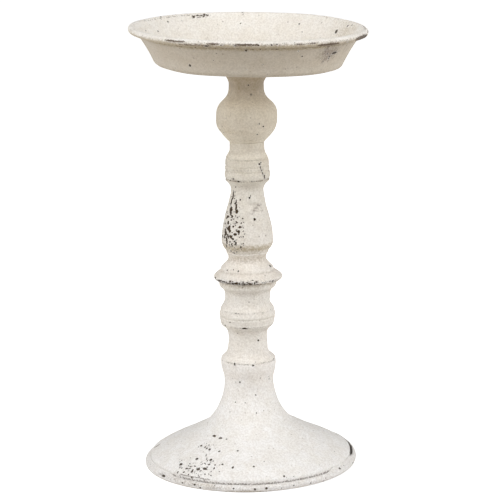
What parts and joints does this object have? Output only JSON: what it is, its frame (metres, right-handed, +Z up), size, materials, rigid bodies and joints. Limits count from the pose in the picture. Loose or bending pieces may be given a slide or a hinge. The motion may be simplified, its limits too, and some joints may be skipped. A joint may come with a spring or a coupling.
{
  "type": "pillar candlestick",
  "caption": "Tall turned candlestick in chipped cream paint, with a shallow dished pan for a pillar candle and a domed foot.",
  "frame": {"origin": "centre of the circle that the foot stands on", "axes": "+Z up along the stem, -Y towards the front; the object is round, so the front is the side first seen"},
  "size_m": [0.1618, 0.1618, 0.305],
  "materials": {
    "pan_paint": "satin cream paint over dark steel, specked, with chips and rubbed edges",
    "stem_paint": "satin cream paint over dark steel, specked, with chips to bare metal",
    "foot_paint": "satin off-white paint over dark steel, specked, chipped along the rim",
    "zinc_steel": "zinc plated steel",
    "spring_steel": "blackened spring steel"
  },
  "bodies": {
    "root": {"pan": "pan_paint", "pan_rim_wire": "zinc_steel", "pan_screw": "pan_paint", "upper_knop": "stem_paint", "coupling_nut": "zinc_steel", "banded_collar": "stem_paint", "pear_body": "stem_paint", "disc_collar": "stem_paint", "banded_vase": "stem_paint", "shoulder_neck": "stem_paint", "foot": "foot_paint", "foot_rim_wire": "zinc_steel", "tie_rod": "zinc_steel", "foot_washer": "zinc_steel", "spring_washer": "spring_steel", "foot_nut": "zinc_steel"}
  },
  "joints": []
}
